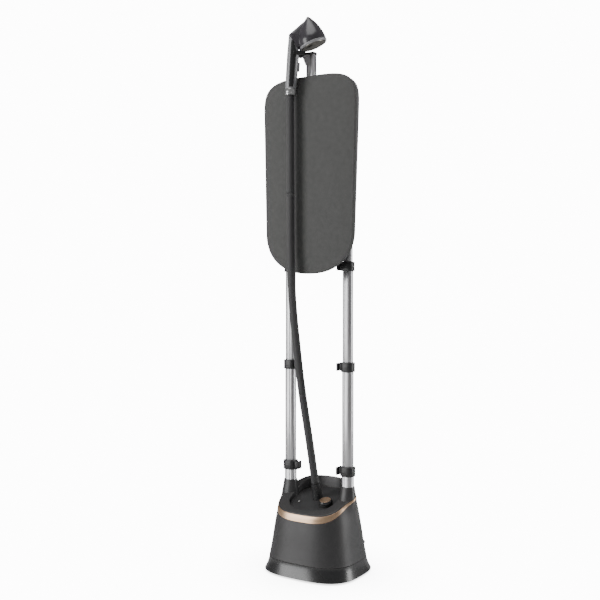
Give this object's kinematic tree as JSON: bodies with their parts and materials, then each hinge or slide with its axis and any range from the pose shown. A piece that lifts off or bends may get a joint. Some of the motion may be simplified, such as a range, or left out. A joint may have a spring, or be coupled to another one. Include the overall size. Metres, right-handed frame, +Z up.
{
  "type": "garment steamer",
  "caption": "Stand garment steamer: tapered base with dial and tank, two telescopic poles with clamps, padded board, docked steam head and hose.",
  "frame": {"origin": "centre of the footprint on the floor", "axes": "+X to the right, -Y to the front, +Z up"},
  "size_m": [0.3, 0.245, 1.5525],
  "materials": {
    "satin_plastic": "satin",
    "gloss_plastic": "gloss",
    "black_plastic": "fine texture",
    "copper_trim": "metallised, satin",
    "silver_aluminium": "satin anodised",
    "silver_trim": "metallised",
    "steel": "satin",
    "board_cloth": "woven",
    "hose_sleeve": "braided sleeve",
    "grey_plastic": "satin",
    "circuit_board": "lacquered",
    "tinted_plastic": "smoky",
    "lens_white": "gloss",
    "rubber": "matt"
  },
  "bodies": {
    "base": {"floor_pan": "black_plastic", "skirt_ring": "gloss_plastic", "body_shell": "satin_plastic", "top_collar": "satin_plastic", "accent_band": "copper_trim", "deck_panel": "black_plastic", "indicator_lens": "lens_white", "foot_front_left": "rubber", "foot_front_right": "rubber", "foot_rear_left": "rubber", "foot_rear_right": "rubber", "boiler": "steel", "pump": "black_plastic", "control_board": "circuit_board", "steam_riser": "rubber", "mains_gland": "rubber", "hose_cuff": "black_plastic", "pole_stub_left": "silver_aluminium", "pole_stub_right": "silver_aluminium", "clamp_1_left": "black_plastic", "clamp_1_right": "black_plastic", "hose": "hose_sleeve"},
    "mast_1": {"pole_1_left": "silver_aluminium", "pole_1_right": "silver_aluminium", "clamp_2_left": "black_plastic", "clamp_2_right": "black_plastic"},
    "mast_2": {"pole_2_left": "silver_aluminium", "pole_2_right": "silver_aluminium", "clamp_3_left": "black_plastic", "clamp_3_right": "black_plastic"},
    "mast_3": {"pole_3_left": "silver_aluminium", "pole_3_right": "silver_aluminium", "clamp_4_left": "black_plastic", "clamp_4_right": "black_plastic"},
    "mast_4": {"pole_4_left": "silver_aluminium", "pole_4_right": "silver_aluminium", "bridge": "black_plastic", "column": "silver_aluminium", "dock_arm": "grey_plastic", "board_tray": "satin_plastic", "board_cover": "board_cloth"},
    "handset": {"hose_collar": "silver_trim", "handle_shell": "grey_plastic", "grip_inlay": "black_plastic", "head_shell": "satin_plastic", "plate_ring": "grey_plastic", "steam_plate": "steel"},
    "trigger": {"trigger": "black_plastic"},
    "dial": {"dial": "gloss_plastic", "dial_insert": "copper_trim"},
    "water_tank": {"water_tank": "tinted_plastic"},
    "tank_cap": {"tank_cap": "black_plastic"},
    "clamp_lever_1_left": {"clamp_lever_1_left": "black_plastic"},
    "clamp_lever_1_right": {"clamp_lever_1_right": "black_plastic"},
    "clamp_lever_2_left": {"clamp_lever_2_left": "black_plastic"},
    "clamp_lever_2_right": {"clamp_lever_2_right": "black_plastic"},
    "clamp_lever_3_left": {"clamp_lever_3_left": "black_plastic"},
    "clamp_lever_3_right": {"clamp_lever_3_right": "black_plastic"},
    "clamp_lever_4_left": {"clamp_lever_4_left": "black_plastic"},
    "clamp_lever_4_right": {"clamp_lever_4_right": "black_plastic"}
  },
  "joints": [
    {"name": "mast_slide_1", "type": "slide", "parent": "base", "child": "mast_1", "axis": [0, 0, 1], "range_m": [-0.135, 0], "deforming": ["hose"]},
    {"name": "mast_slide_2", "type": "slide", "parent": "mast_1", "child": "mast_2", "axis": [0, 0, 1], "range_m": [-0.135, 0], "deforming": ["hose"]},
    {"name": "mast_slide_3", "type": "slide", "parent": "mast_2", "child": "mast_3", "axis": [0, 0, 1], "range_m": [-0.135, 0], "deforming": ["hose"]},
    {"name": "mast_slide_4", "type": "slide", "parent": "mast_3", "child": "mast_4", "axis": [0, 0, 1], "range_m": [-0.135, 0], "deforming": ["hose"]},
    {"name": "clamp_swing_1_left", "type": "hinge", "parent": "base", "child": "clamp_lever_1_left", "pos_m": [-0.0671, 0.012, 0.288], "axis": [0, 0, 1], "range_deg": [0, 90]},
    {"name": "clamp_swing_1_right", "type": "hinge", "parent": "base", "child": "clamp_lever_1_right", "pos_m": [0.0671, 0.012, 0.288], "axis": [0, 0, -1], "range_deg": [0, 90]},
    {"name": "clamp_swing_2_left", "type": "hinge", "parent": "mast_1", "child": "clamp_lever_2_left", "pos_m": [-0.0683, 0.012, 0.579], "axis": [0, 0, 1], "range_deg": [0, 90]},
    {"name": "clamp_swing_2_right", "type": "hinge", "parent": "mast_1", "child": "clamp_lever_2_right", "pos_m": [0.0683, 0.012, 0.579], "axis": [0, 0, -1], "range_deg": [0, 90]},
    {"name": "clamp_swing_3_left", "type": "hinge", "parent": "mast_2", "child": "clamp_lever_3_left", "pos_m": [-0.0695, 0.012, 0.859], "axis": [0, 0, 1], "range_deg": [0, 90]},
    {"name": "clamp_swing_3_right", "type": "hinge", "parent": "mast_2", "child": "clamp_lever_3_right", "pos_m": [0.0695, 0.012, 0.859], "axis": [0, 0, -1], "range_deg": [0, 90]},
    {"name": "clamp_swing_4_left", "type": "hinge", "parent": "mast_3", "child": "clamp_lever_4_left", "pos_m": [-0.0707, 0.012, 1.139], "axis": [0, 0, 1], "range_deg": [0, 90]},
    {"name": "clamp_swing_4_right", "type": "hinge", "parent": "mast_3", "child": "clamp_lever_4_right", "pos_m": [0.0707, 0.012, 1.139], "axis": [0, 0, -1], "range_deg": [0, 90]},
    {"name": "steam_dial", "type": "hinge", "parent": "base", "child": "dial", "pos_m": [0.043, -0.027, 0.19361], "axis": [0, -0.2607, 0.9654], "range_deg": [-120, 120]},
    {"name": "handset_lift", "type": "slide", "parent": "mast_4", "child": "handset", "axis": [0.0571, 0.04, 0.9976], "range_m": [0, 0.035], "deforming": ["hose"]},
    {"name": "steam_trigger", "type": "slide", "parent": "handset", "child": "trigger", "axis": [-0.8172, -0.5722, 0.0698], "range_m": [0, 0.003], "stiffness_N_per_m": 400, "springref_m": -0.002},
    {"name": "tank_slide", "type": "slide", "parent": "base", "child": "water_tank", "axis": [0, 1, 0], "range_m": [0, 0.11]},
    {"name": "tank_cap_turn", "type": "hinge", "parent": "water_tank", "child": "tank_cap", "pos_m": [0, 0.056, 0.195], "axis": [0, 0, 1], "range_deg": [0, 90]}
  ]
}
